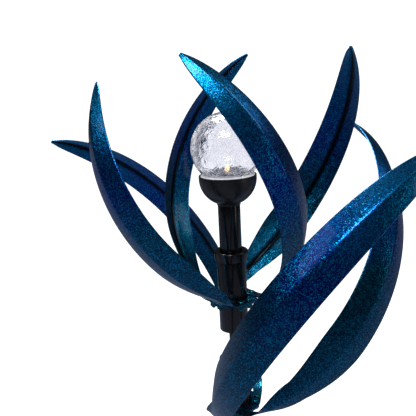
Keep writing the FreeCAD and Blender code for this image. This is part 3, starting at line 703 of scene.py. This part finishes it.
def make_floor():
    """A plain pale floor just under the stake's point, dim in mirror reflections."""
    half = FLOOR_HALF
    mesh = bpy.data.meshes.new("floor")
    height = CAD_LOW.z - FLOOR_GAP * MM
    corners = [(-half, -half, height), (half, -half, height), (half, half, height), (-half, half, height)]
    mesh.from_pydata(corners, [], [(0, 1, 2, 3)])
    nodes = Nodes("floor")
    tone = nodes.grey(nodes.noise(1.2, 2.0), (0.3, 0.96), (0.7, 0.98))
    path = nodes.tree.nodes.new("ShaderNodeLightPath")
    mirrored = nodes.math("SUBTRACT", path.outputs["Is Glossy Ray"], path.outputs["Is Transmission Ray"])
    nodes.feed("Base Color", nodes.mix(nodes.math("MAXIMUM", mirrored, 0.0), tone, (0.11, 0.13, 0.19)))
    nodes.set(Roughness=0.9)
    mesh.materials.append(nodes.material)
    floor = bpy.data.objects.new("floor", mesh)
    bpy.context.scene.collection.objects.link(floor)


# name, place, aimed at, width, height, power in watts, colour
LIGHTS = (
    ("front_above", (-0.05, -1.15, 2.35), (0.0, 0.0, 0.95), 0.8, 0.35, 20.0, (1.0, 1.0, 1.0)),
    ("left_above", (-1.05, -0.25, 2.0), (0.0, 0.0, 0.95), 0.5, 0.7, 2.6, (0.97, 0.98, 1.0)),
    ("right_above", (1.1, 0.1, 1.9), (0.0, 0.0, 0.95), 0.4, 0.7, 2.6, (1.0, 0.99, 0.97)),
    ("behind_above", (-0.25, 0.70, 2.35), (0.0, 0.0, 0.95), 0.7, 0.5, 22.0, (0.95, 0.98, 1.0)),
    ("strip_right", (1.6, -0.7, 1.1), (0.0, 0.0, 0.8), 0.15, 1.0, 1.2, (1.0, 0.86, 0.74)),
)


def make_lights():
    """Soft boxes round the sculpture, and a white world that is dim in mirror reflections."""
    for name, place, target, width, height, power, colour in LIGHTS:
        data = bpy.data.lights.new(name, "AREA")
        data.shape = "RECTANGLE"
        data.size = width
        data.size_y = height
        data.energy = power
        data.color = colour
        light = bpy.data.objects.new(name, data)
        bpy.context.scene.collection.objects.link(light)
        light.location = place
        aim = Vector(target) - Vector(place)
        light.rotation_euler = aim.to_track_quat("-Z", "Y").to_euler()
    world = bpy.data.worlds.new("studio")
    bpy.context.scene.world = world
    world.use_nodes = True
    tree = world.node_tree
    seen = tree.nodes["Background"]
    seen.inputs["Color"].default_value = (1.0, 1.0, 1.0, 1.0)
    seen.inputs["Strength"].default_value = 1.3
    soft = tree.nodes.new("ShaderNodeBackground")
    soft.inputs["Color"].default_value = (0.86, 0.90, 1.0, 1.0)
    soft.inputs["Strength"].default_value = 0.035
    path = tree.nodes.new("ShaderNodeLightPath")
    blend = tree.nodes.new("ShaderNodeMixShader")
    matt = tree.nodes.new("ShaderNodeMath")
    matt.operation = "SUBTRACT"
    matt.inputs[0].default_value = 1.0
    tree.links.new(path.outputs["Is Glossy Ray"], matt.inputs[1])
    bright = tree.nodes.new("ShaderNodeMath")
    bright.operation = "MAXIMUM"
    tree.links.new(matt.outputs[0], bright.inputs[0])
    tree.links.new(path.outputs["Is Transmission Ray"], bright.inputs[1])
    tree.links.new(bright.outputs[0], blend.inputs[0])
    tree.links.new(soft.outputs[0], blend.inputs[1])
    tree.links.new(seen.outputs[0], blend.inputs[2])
    tree.links.new(blend.outputs[0], tree.nodes["World Output"].inputs["Surface"])
    bpy.context.scene.view_settings.view_transform = "Standard"


# ---------------------------------------------------------------- the whole scene

# finish, edge radius in millimetres, nodes
EASED = (
    ("black_satin", 0.4, ("stake_spike", "stake_step_plate", "stake_prong_left", "stake_prong_right",
                          "stake_socket")),
    ("black_gloss", 0.4, ("pole_lower", "pole_upper", "upper_sleeve", "lower_sleeve", "upper_collar",
                          "lower_collar", "lamp_tube")),
    ("black_satin", 0.35, ("lamp_cup",)),
    ("dark_steel", 0.3, ("spindle", "spindle_adapter", "pole_screws")),
    ("bright_steel", 0.3, ("upper_stop_collar", "lower_stop_collar", "pole_coupler", "lamp_tube_plug")),
    ("blade_paint", 0.4, ("upper_blade_plate", "lower_blade_plate")),
    ("bolt_paint", 0.15, ("upper_blade_bolts", "lower_blade_bolts", "upper_blade_nuts", "lower_blade_nuts")),
    ("nylon", 0.2, ("upper_top_bush", "upper_bottom_bush", "lower_top_bush", "lower_bottom_bush",
                    "upper_thrust_washer", "lower_thrust_washer")),
    ("black_plastic", 0.2, ("battery_cover",)),
    ("white_plastic", 0.2, ("lamp_base", "switch_slider")),
    ("seal_rubber", 0.2, ("globe_seal",)),
    ("board", 0.1, ("circuit_board",)),
    ("battery_wrap", 0.3, ("battery",)),
    ("contact_metal", 0.05, ("battery_contacts",)),
    ("dark_steel", 0.1, ("battery_cover_screws",)),
    ("led_lens", 0.05, ("led",)),
)

make_camera()
make_floor()
make_lights()
for finish, edge_radius, names in EASED:
    for node_name in names:
        eased(node_name, finish, edge_radius)
for rotor, leaf_set in LEAVES.items():
    for index, (blade_heading, blade_trim) in enumerate(zip(leaf_set["headings"], leaf_set["trim"]), start=1):
        make_blade(rotor, index, blade_heading, blade_trim)
make_globe()
make_solar_cell()
